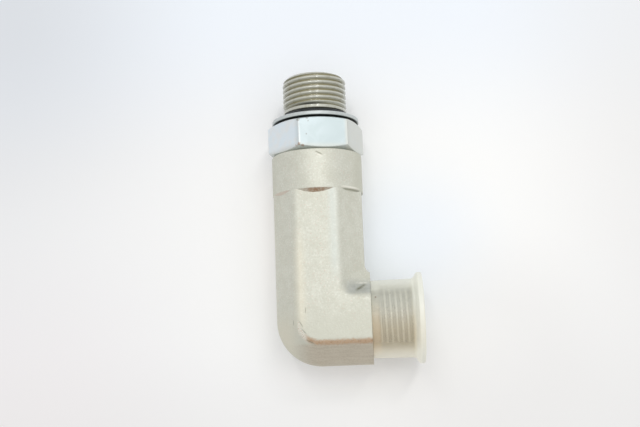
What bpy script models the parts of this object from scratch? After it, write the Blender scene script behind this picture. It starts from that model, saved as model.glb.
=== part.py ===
"""Adjustable 90 degree hydraulic elbow with G3/8 threads on both ends.

The stud runs along +Y, the branch along +X and +Z is up. Every piece is
drawn round the elbow's centre, where the two axes cross. The finished part
is then set down with the middle of its underside at the world's origin.
All sizes are in metres.
"""

import math

import bmesh
import bpy
from mathutils import Matrix, Vector

# Clearances between separate pieces
TOUCH_GAP = 0.0003
ORING_GAP = 0.00025

# Pipe thread, the same on the stud and on the branch
THREAD_RADIUS = 0.00833
THREAD_PITCH = 0.001337
THREAD_DEPTH = 0.00078
THREAD_CREST = 0.00036
THREAD_FLANK_ANGLE = math.radians(27.5)
THREAD_RUNOUT_TURNS = 0.25

# Turned barrel at the end of the leg, sized by its rim round the thread
BARREL_RIM = 0.00339
BARREL_LENGTH = 0.0100
BARREL_CHAMFER = 0.0004
STEP_DEPTH = 0.0012

# Forged body: a round bar, a little under the barrel, with a flat cut on
# each of its eight sides
FORGING_INSET = 0.00007
FLAT_CUT = 0.00095
FLANK_CUT = 0.0006
FLANK_ANGLE = math.radians(52.5)
SIDE_CUT = 0.0003
LEG_LENGTH = 0.0326
SHOULDER_REACH = 0.00125
INNER_FILLET = 0.0025

# Stud: relief, land under the nut, undercut for the seal, thread
RELIEF_DEPTH = 0.00133
RELIEF_LENGTH = 0.0014
NUT_LAND_DEPTH = 0.00023
UNDERCUT_DEPTH = 0.00158
UNDERCUT_COVER = 0.0006
UNDERCUT_CHAMFER = 0.0003
STUD_THREAD_LENGTH = 0.00942
STUD_TIP_CHAMFER = 0.0009
STUD_GROOVE_OFFSET = 0.00186

# Branch: neck, thread and the cone that a hose seats in
NECK_DEPTH = 0.00108
NECK_LENGTH = 0.0022
BRANCH_THREAD_LENGTH = 0.00805
BRANCH_TIP_CHAMFER = 0.0007
BRANCH_GROOVE_OFFSET = 0.00073
SEAT_DEPTH = 0.00225
SEAT_HALF_ANGLE = math.radians(30.0)

# Drilled bores
STUD_BORE_RADIUS = 0.00475
BRANCH_BORE_RADIUS = 0.0049
DRILL_OVERSHOOT = 0.0035
DRILL_POINT_ANGLE = math.radians(59.0)

# Locknut
NUT_WALL = 0.00267
NUT_HEIGHT = 0.00815
NUT_FACE_INSET = 0.0004
NUT_CHAMFER_ANGLE = math.radians(20.0)
NUT_BORE_CHAMFER = 0.0006
NUT_TURN = math.radians(13.6)
NUT_FREE_GAP = 0.00045

# Backup washer and O-ring
WASHER_INSET = 0.00032
WASHER_THICKNESS = 0.0009
WASHER_EDGE = 0.00015
WASHER_SEAT_DEPTH = 0.0006
WASHER_SEAT_MARGIN = 0.00015
ORING_SECTION = 0.0018

# Push-on cap over the branch thread
CAP_WALL = 0.00117
CAP_TAPER = 0.00015
CAP_END_WALL = 0.0013
CAP_DISH_DEPTH = 0.0011
CAP_DISH_RIM = 0.0031
CAP_FLANGE_REACH = 0.00155
CAP_FLANGE_THICKNESS = 0.0023
CAP_EDGE = 0.0003

# Smoothness of round pieces
ROUND_STEPS = 36
BORE_STEPS = 32
ORING_STEPS = 10
HEEL_STEPS = 12
FILLET_STEPS = 6
CORNER_STEPS = 3

# Radii that follow the thread
BARREL_RADIUS = THREAD_RADIUS + BARREL_RIM
RELIEF_RADIUS = THREAD_RADIUS - RELIEF_DEPTH
NUT_LAND_RADIUS = THREAD_RADIUS - NUT_LAND_DEPTH
UNDERCUT_RADIUS = THREAD_RADIUS - UNDERCUT_DEPTH
NECK_RADIUS = THREAD_RADIUS - NECK_DEPTH
NUT_FLAT_DISTANCE = THREAD_RADIUS + NUT_WALL
NUT_FACE_RADIUS = NUT_FLAT_DISTANCE - NUT_FACE_INSET
WASHER_RADIUS = BARREL_RADIUS - WASHER_INSET
SEAL_INNER_RADIUS = UNDERCUT_RADIUS + TOUCH_GAP
WASHER_SEAT_RADIUS = SEAL_INNER_RADIUS + ORING_SECTION + WASHER_SEAT_MARGIN
CAP_INNER_RADIUS = THREAD_RADIUS + TOUCH_GAP
CAP_MOUTH_RADIUS = CAP_INNER_RADIUS + CAP_WALL
CAP_ROOT_RADIUS = CAP_MOUTH_RADIUS + CAP_TAPER
CAP_FLANGE_RADIUS = CAP_ROOT_RADIUS + CAP_FLANGE_REACH
CAP_DISH_RADIUS = CAP_FLANGE_RADIUS - CAP_DISH_RIM

# Distances of the forging's flats from its axes
FORGING_RADIUS = BARREL_RADIUS - FORGING_INSET
FLAT_DISTANCE = FORGING_RADIUS - FLAT_CUT
FLANK_DISTANCE = FORGING_RADIUS - FLANK_CUT
SIDE_DISTANCE = FORGING_RADIUS - SIDE_CUT
SHOULDER_DISTANCE = SIDE_DISTANCE + SHOULDER_REACH

# Places along the stud, measured from the elbow's centre
BARREL_END = LEG_LENGTH + BARREL_LENGTH
NUT_BOTTOM = BARREL_END + TOUCH_GAP
NUT_TOP = NUT_BOTTOM + NUT_HEIGHT
WASHER_BOTTOM = NUT_TOP + NUT_FREE_GAP
WASHER_TOP = WASHER_BOTTOM + WASHER_THICKNESS
WASHER_SEAT_SLOPE = math.atan2(WASHER_SEAT_DEPTH, WASHER_SEAT_RADIUS - SEAL_INNER_RADIUS)
SEAT_UNDER_ORING = WASHER_TOP - WASHER_SEAT_DEPTH + ORING_SECTION / 2 * math.tan(WASHER_SEAT_SLOPE)
ORING_MIDDLE = SEAT_UNDER_ORING + (ORING_SECTION / 2 + ORING_GAP) / math.cos(WASHER_SEAT_SLOPE)
STUD_THREAD_START = ORING_MIDDLE + ORING_SECTION / 2 + ORING_GAP
STUD_TIP = STUD_THREAD_START + STUD_THREAD_LENGTH

# Places along the branch, measured from the elbow's centre
BRANCH_THREAD_START = SHOULDER_DISTANCE + NECK_LENGTH
BRANCH_END = BRANCH_THREAD_START + BRANCH_THREAD_LENGTH
CAP_MOUTH = SHOULDER_DISTANCE + TOUCH_GAP
CAP_FLOOR = BRANCH_END + TOUCH_GAP
CAP_FACE = CAP_FLOOR + CAP_END_WALL + CAP_DISH_DEPTH

# Turns that lay a piece drawn along +Z onto the stud or the branch.
# Both keep the piece's own +X side uppermost.
ONTO_STUD = Matrix(((0, 1, 0), (0, 0, 1), (1, 0, 0))).to_4x4()
ONTO_BRANCH = Matrix(((0, 0, 1), (0, -1, 0), (1, 0, 0))).to_4x4()


def clear_scene():
    """Remove every object, so that the script can be run again."""
    for old in list(bpy.data.objects):
        bpy.data.objects.remove(old, do_unlink=True)


def make_material(name, colour, metallic, roughness, alpha=1.0):
    """Make a Principled BSDF material."""
    material = bpy.data.materials.new(name)
    material.use_nodes = True
    shader = material.node_tree.nodes["Principled BSDF"]
    shader.inputs["Base Color"].default_value = (*colour, 1.0)
    shader.inputs["Metallic"].default_value = metallic
    shader.inputs["Roughness"].default_value = roughness
    shader.inputs["Alpha"].default_value = alpha
    material.diffuse_color = (*colour, alpha)
    return material


def finish_object(name, bm, turn=None, sharp_angle=math.radians(35)):
    """Close a bmesh into a smooth-shaded object, turned onto its axis."""
    if turn is not None:
        bmesh.ops.transform(bm, matrix=turn, verts=bm.verts)
    bmesh.ops.remove_doubles(bm, verts=bm.verts, dist=1e-7)
    bmesh.ops.recalc_face_normals(bm, faces=bm.faces)
    for face in bm.faces:
        face.smooth = True
    mesh = bpy.data.meshes.new(name)
    bm.to_mesh(mesh)
    bm.free()
    mesh.set_sharp_from_angle(angle=sharp_angle)
    made = bpy.data.objects.new(name, mesh)
    bpy.context.scene.collection.objects.link(made)
    return made


def revolve(name, profile, turn, ring=False, steps=ROUND_STEPS, half_step=False):
    """Turn a profile of (radius, height) points round +Z into a closed solid.

    An open profile starts and ends on the axis. A ring's profile is a loop
    that joins its last point to its first. half_step turns the facets by
    half of one, so that no edge of a cutter lies on an edge of its blank.
    """
    bm = bmesh.new()
    rows = []
    for radius, height in profile:
        if radius == 0.0:
            rows.append([bm.verts.new((0.0, 0.0, height))] * steps)
            continue
        row = []
        for step in range(steps):
            angle = 2 * math.pi * (step + 0.5 * half_step) / steps
            row.append(bm.verts.new((radius * math.cos(angle), radius * math.sin(angle), height)))
        rows.append(row)
    pairs = list(zip(rows, rows[1:]))
    if ring:
        pairs.append((rows[-1], rows[0]))
    for low, high in pairs:
        for step in range(steps):
            after = (step + 1) % steps
            corners = []
            for corner in (low[step], low[after], high[after], high[step]):
                if corner not in corners:
                    corners.append(corner)
            bm.faces.new(corners)
    return finish_object(name, bm, turn)


def section_edge():
    """List (height, half width) down the forging's section, top to bottom.

    The section is a circle cut by flats: at each height the half width is
    the least that the circle, the flank and the side allow. The corners
    that stay round lie between neighbouring flats.
    """
    top_end = math.acos(FLAT_DISTANCE / FORGING_RADIUS)
    flank_half = math.acos(FLANK_DISTANCE / FORGING_RADIUS)
    side_half = math.acos(SIDE_DISTANCE / FORGING_RADIUS)
    corners = (
        (top_end, FLANK_ANGLE - flank_half),
        (FLANK_ANGLE + flank_half, math.pi / 2 - side_half),
    )
    upper = []
    for start, end in corners:
        for step in range(CORNER_STEPS + 1):
            angle = start + (end - start) * step / CORNER_STEPS
            upper.append((FORGING_RADIUS * math.cos(angle), FORGING_RADIUS * math.sin(angle)))
    lower = [(-height, width) for height, width in reversed(upper)]
    return upper + lower


def elbow_outline(width):
    """Outline of the elbow at one height, seen from above, anticlockwise.

    The leg and the branch are both as wide as the section is there. Their
    outer sides meet on an arc round the centre, and their inner sides meet
    in a fillet, which stops where it reaches the branch's end face.
    """
    points = [(width, LEG_LENGTH), (-width, LEG_LENGTH)]
    for step in range(HEEL_STEPS + 1):
        angle = math.pi + math.pi / 2 * step / HEEL_STEPS
        points.append((width * math.cos(angle), width * math.sin(angle)))
    points.append((SHOULDER_DISTANCE, -width))
    centre = width + INNER_FILLET
    reach = min(1.0, (centre - SHOULDER_DISTANCE) / INNER_FILLET)
    last = math.pi * 1.5 if reach <= 0 else math.pi * 1.5 - math.asin(reach)
    end_height = centre + INNER_FILLET * math.sin(last)
    points.append((SHOULDER_DISTANCE, end_height))
    for step in range(FILLET_STEPS + 1):
        angle = last + (math.pi - last) * step / FILLET_STEPS
        points.append((centre + INNER_FILLET * math.cos(angle),
                       centre + INNER_FILLET * math.sin(angle)))
    return points


def make_forging():
    """Loft the elbow's outlines from the upper flat down to the lower one."""
    bm = bmesh.new()
    levels = []
    for height, width in section_edge():
        levels.append([bm.verts.new((x, y, height)) for x, y in elbow_outline(width)])
    bm.faces.new(levels[0])
    bm.faces.new(list(reversed(levels[-1])))
    count = len(levels[0])
    for high, low in zip(levels, levels[1:]):
        for index in range(count):
            after = (index + 1) % count
            bm.faces.new((high[index], low[index], low[after], high[after]))
    return finish_object("elbow_body", bm, sharp_angle=math.radians(30))


def stud_profile():
    """Barrel and stud as turned from the bar, from inside the leg to the tip."""
    inside = FLAT_DISTANCE - 2 * TOUCH_GAP
    step_bottom = LEG_LENGTH - (BARREL_RADIUS - inside)
    return [
        (0.0, step_bottom - STEP_DEPTH),
        (inside, step_bottom - STEP_DEPTH),
        (inside, step_bottom),
        (BARREL_RADIUS, LEG_LENGTH),
        (BARREL_RADIUS, BARREL_END - BARREL_CHAMFER),
        (BARREL_RADIUS - BARREL_CHAMFER, BARREL_END),
        (RELIEF_RADIUS, BARREL_END),
        (RELIEF_RADIUS, BARREL_END + RELIEF_LENGTH),
        (NUT_LAND_RADIUS, BARREL_END + RELIEF_LENGTH + NUT_LAND_RADIUS - RELIEF_RADIUS),
        (NUT_LAND_RADIUS, NUT_TOP - UNDERCUT_COVER),
        (UNDERCUT_RADIUS, NUT_TOP - UNDERCUT_COVER + (NUT_LAND_RADIUS - UNDERCUT_RADIUS) / 2),
        (UNDERCUT_RADIUS, STUD_THREAD_START),
        (THREAD_RADIUS - UNDERCUT_CHAMFER, STUD_THREAD_START),
        (THREAD_RADIUS, STUD_THREAD_START + UNDERCUT_CHAMFER),
        (THREAD_RADIUS, STUD_TIP - STUD_TIP_CHAMFER),
        (THREAD_RADIUS - STUD_TIP_CHAMFER, STUD_TIP),
        (0.0, STUD_TIP),
    ]


def branch_profile():
    """Neck and branch thread blank, from inside the forging to the end."""
    return [
        (0.0, SHOULDER_DISTANCE - NECK_LENGTH),
        (NECK_RADIUS, SHOULDER_DISTANCE - NECK_LENGTH),
        (NECK_RADIUS, BRANCH_THREAD_START - (THREAD_RADIUS - NECK_RADIUS) / 2),
        (THREAD_RADIUS, BRANCH_THREAD_START),
        (THREAD_RADIUS, BRANCH_END - BRANCH_TIP_CHAMFER),
        (THREAD_RADIUS - BRANCH_TIP_CHAMFER, BRANCH_END),
        (0.0, BRANCH_END),
    ]


def drill_profile(radius, end, seat_depth=0.0):
    """A drill from past the crossing of the bores out through an end face.

    Over seat_depth from the end face it widens into the cone of a seat.
    """
    point = radius / math.tan(DRILL_POINT_ANGLE)
    outside = end + THREAD_PITCH
    profile = [(0.0, -DRILL_OVERSHOOT - point), (radius, -DRILL_OVERSHOOT)]
    if seat_depth:
        cone_radius = radius + (seat_depth + THREAD_PITCH) * math.tan(SEAT_HALF_ANGLE)
        profile += [(radius, end - seat_depth), (cone_radius, outside)]
    else:
        profile.append((radius, outside))
    profile.append((0.0, outside))
    return profile


def make_thread_groove(name, turn, first, last, run_out_first):
    """Sweep a V along a right-hand helix, to cut one thread from its blank.

    first and last are the heights at which the groove's middle passes the
    upper side at the sweep's two ends. Outside the metal the sweep keeps
    its depth. At the end that run_out_first picks it lifts out of the
    metal, as a threading tool does.
    """
    crest_half = (THREAD_PITCH - THREAD_CREST) / 2
    lift_out = THREAD_DEPTH + THREAD_CREST
    above = THREAD_CREST / 3
    slope = math.tan(THREAD_FLANK_ANGLE)
    root_half = crest_half - THREAD_DEPTH * slope
    section = (
        (THREAD_RADIUS - THREAD_DEPTH, -root_half),
        (THREAD_RADIUS - THREAD_DEPTH, root_half),
        (THREAD_RADIUS + above, crest_half + above * slope),
        (THREAD_RADIUS + above, -crest_half - above * slope),
    )
    count = round((last - first) / THREAD_PITCH * ROUND_STEPS)
    run_out = THREAD_RUNOUT_TURNS * ROUND_STEPS
    bm = bmesh.new()
    rows = []
    for step in range(count + 1):
        angle = 2 * math.pi * (step + 0.5) / ROUND_STEPS
        middle = first + THREAD_PITCH * (step + 0.5) / ROUND_STEPS
        from_end = step if run_out_first else count - step
        lift = lift_out * max(0.0, 1.0 - from_end / run_out)
        row = []
        for radius, offset in section:
            reach = radius + lift
            row.append(bm.verts.new((reach * math.cos(angle), reach * math.sin(angle),
                                     middle + offset)))
        rows.append(row)
    for low, high in zip(rows, rows[1:]):
        for index in range(4):
            after = (index + 1) % 4
            bm.faces.new((low[index], low[after], high[after], high[index]))
    bm.faces.new(rows[0])
    bm.faces.new(list(reversed(rows[-1])))
    return finish_object(name, bm, turn)


def cut_or_join(target, tool, operation):
    """Add a live Boolean of tool to target and hide the tool."""
    step = target.modifiers.new(tool.name, "BOOLEAN")
    step.operation = operation
    step.object = tool
    step.solver = "EXACT"
    tool.hide_render = True
    tool.display_type = "WIRE"


def make_elbow_body(material):
    """Forging, turned stud and branch in one piece, drilled and threaded."""
    body = make_forging()
    body.data.materials.append(material)
    stud = revolve("stud_blank", stud_profile(), ONTO_STUD)
    branch = revolve("branch_blank", branch_profile(), ONTO_BRANCH)
    stud_drill = revolve(
        "stud_drill",
        drill_profile(STUD_BORE_RADIUS, STUD_TIP),
        ONTO_STUD,
        steps=BORE_STEPS,
        half_step=True,
    )
    branch_drill = revolve(
        "branch_drill",
        drill_profile(BRANCH_BORE_RADIUS, BRANCH_END, SEAT_DEPTH),
        ONTO_BRANCH,
        steps=BORE_STEPS,
    )
    stud_turns = math.ceil(STUD_THREAD_LENGTH / THREAD_PITCH)
    stud_last = STUD_TIP - STUD_GROOVE_OFFSET + 2 * THREAD_PITCH
    stud_groove = make_thread_groove(
        "stud_thread_groove",
        ONTO_STUD,
        stud_last - stud_turns * THREAD_PITCH,
        stud_last,
        run_out_first=True,
    )
    branch_turns = math.ceil(BRANCH_THREAD_LENGTH / THREAD_PITCH) + 2
    branch_last = BRANCH_END - BRANCH_GROOVE_OFFSET + 2 * THREAD_PITCH
    branch_groove = make_thread_groove(
        "branch_thread_groove",
        ONTO_BRANCH,
        branch_last - branch_turns * THREAD_PITCH,
        branch_last,
        run_out_first=False,
    )
    cut_or_join(body, stud, "UNION")
    cut_or_join(body, branch, "UNION")
    cut_or_join(body, stud_drill, "DIFFERENCE")
    cut_or_join(body, branch_drill, "DIFFERENCE")
    cut_or_join(body, stud_groove, "DIFFERENCE")
    cut_or_join(body, branch_groove, "DIFFERENCE")
    return body, [stud, branch, stud_drill, branch_drill, stud_groove, branch_groove]


def make_locknut(material):
    """A hexagon bar faced and chamfered on both ends, bored for the stud."""
    corner_radius = NUT_FLAT_DISTANCE / math.cos(math.pi / 6)
    bm = bmesh.new()
    levels = []
    for height in (NUT_BOTTOM, NUT_TOP):
        level = []
        for side in range(6):
            angle = NUT_TURN + math.pi / 6 + math.pi / 3 * side
            level.append(bm.verts.new((corner_radius * math.cos(angle),
                                       corner_radius * math.sin(angle), height)))
        levels.append(level)
    bm.faces.new(list(reversed(levels[0])))
    bm.faces.new(levels[1])
    for side in range(6):
        after = (side + 1) % 6
        bm.faces.new((levels[0][side], levels[0][after], levels[1][after], levels[1][side]))
    nut = finish_object("locknut", bm, ONTO_STUD)
    nut.data.materials.append(material)
    outside = corner_radius + TOUCH_GAP
    drop = (outside - NUT_FACE_RADIUS) * math.tan(NUT_CHAMFER_ANGLE)
    over = NUT_BORE_CHAMFER
    facing = revolve("nut_facing", [
        (0.0, NUT_BOTTOM - over),
        (NUT_FACE_RADIUS - over / math.tan(NUT_CHAMFER_ANGLE), NUT_BOTTOM - over),
        (outside, NUT_BOTTOM + drop),
        (outside, NUT_TOP - drop),
        (NUT_FACE_RADIUS - over / math.tan(NUT_CHAMFER_ANGLE), NUT_TOP + over),
        (0.0, NUT_TOP + over),
    ], ONTO_STUD, steps=2 * ROUND_STEPS)
    bore_radius = NUT_LAND_RADIUS + TOUCH_GAP
    mouth = bore_radius + 2 * NUT_BORE_CHAMFER
    bore = revolve("nut_bore", [
        (0.0, NUT_BOTTOM - over),
        (mouth, NUT_BOTTOM - over),
        (bore_radius, NUT_BOTTOM + over),
        (bore_radius, NUT_TOP - over),
        (mouth, NUT_TOP + over),
        (0.0, NUT_TOP + over),
    ], ONTO_STUD)
    cut_or_join(nut, facing, "INTERSECT")
    cut_or_join(nut, bore, "DIFFERENCE")
    return nut, [facing, bore]


def make_backup_washer(material):
    """A ring that lies in the undercut, with its outer edges broken.

    Its upper side slopes down to the stud and backs the O-ring, so only the
    flat outside the O-ring meets the port.
    """
    washer = revolve("backup_washer", [
        (SEAL_INNER_RADIUS, WASHER_BOTTOM),
        (WASHER_RADIUS - WASHER_EDGE, WASHER_BOTTOM),
        (WASHER_RADIUS, WASHER_BOTTOM + WASHER_EDGE),
        (WASHER_RADIUS, WASHER_TOP - WASHER_EDGE),
        (WASHER_RADIUS - WASHER_EDGE, WASHER_TOP),
        (WASHER_SEAT_RADIUS, WASHER_TOP),
        (SEAL_INNER_RADIUS, WASHER_TOP - WASHER_SEAT_DEPTH),
    ], ONTO_STUD, ring=True)
    washer.data.materials.append(material)
    return washer


def make_stud_oring(material):
    """The rubber ring between the washer and the start of the thread."""
    middle = SEAL_INNER_RADIUS + ORING_SECTION / 2
    profile = []
    for step in range(ORING_STEPS):
        angle = 2 * math.pi * step / ORING_STEPS
        profile.append((middle + ORING_SECTION / 2 * math.cos(angle),
                        ORING_MIDDLE + ORING_SECTION / 2 * math.sin(angle)))
    oring = revolve("stud_oring", profile, ONTO_STUD, ring=True)
    oring.data.materials.append(material)
    return oring


def make_branch_cap(material):
    """A moulded cap: a sleeve over the thread and a flange at its closed end."""
    back = CAP_FACE - CAP_FLANGE_THICKNESS
    cap = revolve("branch_cap", [
        (0.0, CAP_FACE - CAP_DISH_DEPTH),
        (CAP_DISH_RADIUS, CAP_FACE - CAP_DISH_DEPTH),
        (CAP_DISH_RADIUS + CAP_EDGE, CAP_FACE),
        (CAP_FLANGE_RADIUS - CAP_EDGE, CAP_FACE),
        (CAP_FLANGE_RADIUS, CAP_FACE - CAP_EDGE),
        (CAP_FLANGE_RADIUS, back + CAP_EDGE),
        (CAP_FLANGE_RADIUS - CAP_EDGE, back),
        (CAP_ROOT_RADIUS + CAP_EDGE, back),
        (CAP_ROOT_RADIUS, back - CAP_EDGE),
        (CAP_MOUTH_RADIUS, CAP_MOUTH + CAP_EDGE),
        (CAP_MOUTH_RADIUS - CAP_EDGE, CAP_MOUTH),
        (CAP_INNER_RADIUS, CAP_MOUTH),
        (CAP_INNER_RADIUS, CAP_FLOOR),
        (0.0, CAP_FLOOR),
    ], ONTO_BRANCH)
    cap.data.materials.append(material)
    return cap


def set_down(pieces, drawn):
    """Hang all pieces on an empty at the elbow's centre and set it down.

    drawn lists the objects whose own meshes reach furthest. The empty goes
    where the middle of the underside of their box is at the world's origin.
    """
    points = [vertex.co for made in drawn for vertex in made.data.vertices]
    low = Vector([min(point[axis] for point in points) for axis in range(3)])
    high = Vector([max(point[axis] for point in points) for axis in range(3)])
    centre = bpy.data.objects.new("elbow_centre", None)
    centre.empty_display_size = THREAD_RADIUS
    centre.location = (-(low.x + high.x) / 2, -(low.y + high.y) / 2, -low.z)
    bpy.context.scene.collection.objects.link(centre)
    for piece in pieces:
        piece.parent = centre


def main():
    """Build the elbow and the four pieces fitted to it."""
    clear_scene()
    plated = make_material("satin_zinc_plated_steel", (0.62, 0.61, 0.54), 0.85, 0.5)
    bright = make_material("bright_zinc_steel", (0.74, 0.79, 0.82), 0.9, 0.3)
    washer_zinc = make_material("washer_zinc_steel", (0.70, 0.73, 0.72), 0.9, 0.32)
    rubber = make_material("black_nitrile", (0.012, 0.012, 0.012), 0.0, 0.45)
    plastic = make_material("natural_polyethylene", (0.80, 0.79, 0.66), 0.0, 0.4, 0.55)

    body, body_tools = make_elbow_body(plated)
    nut, nut_tools = make_locknut(bright)
    washer = make_backup_washer(washer_zinc)
    oring = make_stud_oring(rubber)
    cap = make_branch_cap(plastic)

    pieces = [body, nut, washer, oring, cap] + body_tools + nut_tools
    set_down(pieces, [body, body_tools[0], nut, washer, oring, cap])


main()
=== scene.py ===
"""Looks, light and camera for an adjustable right-angle hydraulic elbow.

Every piece is drawn in millimetres round the elbow's centre, where the stud's
axis and the branch's axis cross, and is then carried into the row frame in
metres. The stud runs along +Y, the branch along +X, and +Z is up.
"""

import logging
import math
from dataclasses import dataclass
from enum import Enum
from functools import reduce
from typing import Callable, Optional, Protocol, Sequence, Union

import bmesh
import bpy
import numpy as np
from mathutils import Matrix, Vector


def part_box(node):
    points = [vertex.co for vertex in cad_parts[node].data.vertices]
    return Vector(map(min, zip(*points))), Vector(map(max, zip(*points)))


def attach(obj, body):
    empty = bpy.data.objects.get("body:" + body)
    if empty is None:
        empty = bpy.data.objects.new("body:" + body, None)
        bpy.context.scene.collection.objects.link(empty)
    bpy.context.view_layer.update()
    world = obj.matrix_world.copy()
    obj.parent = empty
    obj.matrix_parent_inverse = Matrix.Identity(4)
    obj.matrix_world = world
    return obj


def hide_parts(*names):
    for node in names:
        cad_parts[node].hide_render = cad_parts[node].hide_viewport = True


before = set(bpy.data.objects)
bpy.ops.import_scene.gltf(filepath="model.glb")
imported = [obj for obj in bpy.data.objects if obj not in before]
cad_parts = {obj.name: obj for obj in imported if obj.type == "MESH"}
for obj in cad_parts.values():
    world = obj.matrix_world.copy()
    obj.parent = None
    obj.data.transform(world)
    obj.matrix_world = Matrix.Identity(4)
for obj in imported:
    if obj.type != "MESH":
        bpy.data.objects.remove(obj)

Array = np.ndarray
Colour = tuple[float, float, float]
Spot = tuple[float, float, float]
Corner = tuple[float, float, float]
Span = tuple[float, ...]
Mark = tuple[float, float, float, float]
Streak = tuple[float, float, float, float, float]
Object = bpy.types.Object
Socket = bpy.types.NodeSocket
Material = bpy.types.Material
Number = Union[float, "Scalar"]
Tint = Union[Colour, Socket]

LOG = logging.getLogger("hydraulic_elbow")
MILLIMETRE = 0.001
FULL_TURN = 2 * math.pi
TURN_STEPS = 192
THREAD_ROW = 0.056
THREAD_RADIUS = 8.33
NEVER = -100.0
UPPER_SIDE: Span = (2.0, 7.0)


class Axis(Enum):
    """The two straight runs that turned pieces lie on."""

    STUD = "stud"
    BRANCH = "branch"


class Body(Enum):
    """The bodies that pieces ride on."""

    ELBOW = "elbow"
    WASHER = "washer"
    NUT = "nut"
    CAP = "cap"


def elbow_centre() -> Array:
    """Find the crossing of both axes from the sealing ring and the cap, in metres."""
    ring_low, ring_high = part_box("stud_oring")
    cap_low, cap_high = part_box("branch_cap")
    ring_middle = (ring_low + ring_high) / 2
    cap_middle = (cap_low + cap_high) / 2
    return np.array((ring_middle.x, cap_middle.y, ring_middle.z))


CENTRE = elbow_centre()


def to_frame(points: Array) -> Array:
    """Carry points from millimetres round the centre into the row frame."""
    return points * MILLIMETRE + CENTRE


def place(axis: Axis, radius: Array, angle: Array, along: Array) -> Array:
    """Turn cylinder coordinates into points round the elbow's centre.

    The angle starts at the upper side. On the stud x = r sin a, y = h and
    z = r cos a. On the branch x = h, y = -r sin a and z = r cos a.

    Args:
        axis: the run that the piece lies on.
        radius: distances from the axis.
        angle: angles round it, in radians.
        along: distances along it from the elbow's centre.

    Returns:
        Points with x, y, z in the last place.
    """
    radius, angle, along = np.broadcast_arrays(radius, angle, along)
    across = radius * np.sin(angle)
    up = radius * np.cos(angle)
    if axis is Axis.STUD:
        return np.stack([across, along, up], axis=-1)
    return np.stack([along, -across, up], axis=-1)


def grid_quads(rows: int, columns: int, close_rows: bool) -> list[list[int]]:
    """Number the corners of a grid's quads, with its columns joined in a ring.

    Args:
        rows: how many rows of points the grid has.
        columns: how many points each row has.
        close_rows: whether the last row joins the first.

    Returns:
        Four point numbers for each quad.
    """
    last = rows if close_rows else rows - 1
    row, column = np.meshgrid(np.arange(last), np.arange(columns), indexing="ij")
    below = (row + 1) % rows
    after = (column + 1) % columns
    corners = [(row, column), (row, after), (below, after), (below, column)]
    quads = np.stack([line * columns + spot for line, spot in corners], axis=-1)
    return quads.reshape(-1, 4).tolist()


def rounded_path(corners: Sequence[Corner], steps: int = 4, most: float = 0.45) -> Array:
    """Round the corners of the closed path that a profile follows.

    At each corner the path leaves its first straight at the distance
    t = rounding * tan(half the turn) and follows an arc, drawn here as a
    quadratic curve through both tangent points, to its second straight.

    Args:
        corners: (radius, along, rounding) of each corner, in millimetres.
        steps: how many pieces each arc has.
        most: the most that an arc may take of the shorter straight.

    Returns:
        An array of (radius, along) points.
    """
    table = np.array(corners, dtype=float)
    spots, rounding = table[:, :2], table[:, 2]
    before = np.roll(spots, 1, axis=0) - spots
    after = np.roll(spots, -1, axis=0) - spots
    before_length = np.linalg.norm(before, axis=1)
    after_length = np.linalg.norm(after, axis=1)
    before /= before_length[:, None]
    after /= after_length[:, None]
    opening = np.arccos(np.clip((before * after).sum(axis=1), -1, 1))
    reach = rounding / np.tan(np.maximum(opening, 0.01) / 2)
    reach = np.minimum(reach, most * np.minimum(before_length, after_length))
    share = np.linspace(0, 1, steps + 1)[:, None]
    path = []
    for spot, back, ahead, length, radius in zip(spots, before, after, reach, rounding):
        if radius == 0:
            path.append(spot[None, :])
            continue
        start = spot + back * length
        end = spot + ahead * length
        curve = (1 - share) ** 2 * start + 2 * share * (1 - share) * spot + share ** 2 * end
        path.append(curve)
    return np.concatenate(path)


def refined(path: Array, low: float, high: float, longest: float = THREAD_ROW) -> Array:
    """Divide a path's straights between two distances along the axis.

    Args:
        path: (radius, along) points.
        low: where the stretch begins.
        high: where it ends.
        longest: the longest step to leave there, in millimetres.

    Returns:
        The path with the added points.
    """
    pieces = []
    for start, end in zip(path, np.roll(path, -1, axis=0)):
        inside = low <= (start[1] + end[1]) / 2 <= high
        count = max(1, math.ceil(np.linalg.norm(end - start) / longest)) if inside else 1
        share = np.arange(count)[:, None] / count
        pieces.append(start + (end - start) * share)
    return np.concatenate(pieces)


def add_object(name: str, data: bpy.types.ID) -> Object:
    """Put a mesh, a light or a camera in the scene."""
    made = bpy.data.objects.new(name, data)
    bpy.context.scene.collection.objects.link(made)
    return made


def modify(piece: Object, kind: str, **settings: object) -> None:
    """Add a modifier of the kind and with the settings named."""
    made = piece.modifiers.new(kind.lower(), kind)
    for name, value in settings.items():
        setattr(made, name, value)


def make_piece(
    name: str,
    points: Array,
    faces: list[list[int]],
    sharp_angle: float = math.radians(35),
    flat_faces: int = 0,
) -> Object:
    """Make one closed mesh object at the origin, its place in its mesh.

    Args:
        name: the piece's name.
        points: coordinates in millimetres round the elbow's centre.
        faces: corner numbers of each face.
        sharp_angle: the angle between faces past which an edge stays sharp.
        flat_faces: how many of the last faces keep flat shading.

    Returns:
        The new object.
    """
    mesh = bpy.data.meshes.new(name)
    mesh.from_pydata(to_frame(points.reshape(-1, 3)).tolist(), [], faces)
    work = bmesh.new()
    work.from_mesh(mesh)
    bmesh.ops.remove_doubles(work, verts=work.verts, dist=1e-8)
    bmesh.ops.recalc_face_normals(work, faces=work.faces)
    work.to_mesh(mesh)
    work.free()
    mesh.shade_smooth()
    if flat_faces:
        smooth = np.ones(len(mesh.polygons), dtype=bool)
        smooth[-flat_faces:] = False
        mesh.polygons.foreach_set("use_smooth", smooth)
    mesh.set_sharp_from_angle(angle=sharp_angle)
    return add_object(name, mesh)


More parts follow.
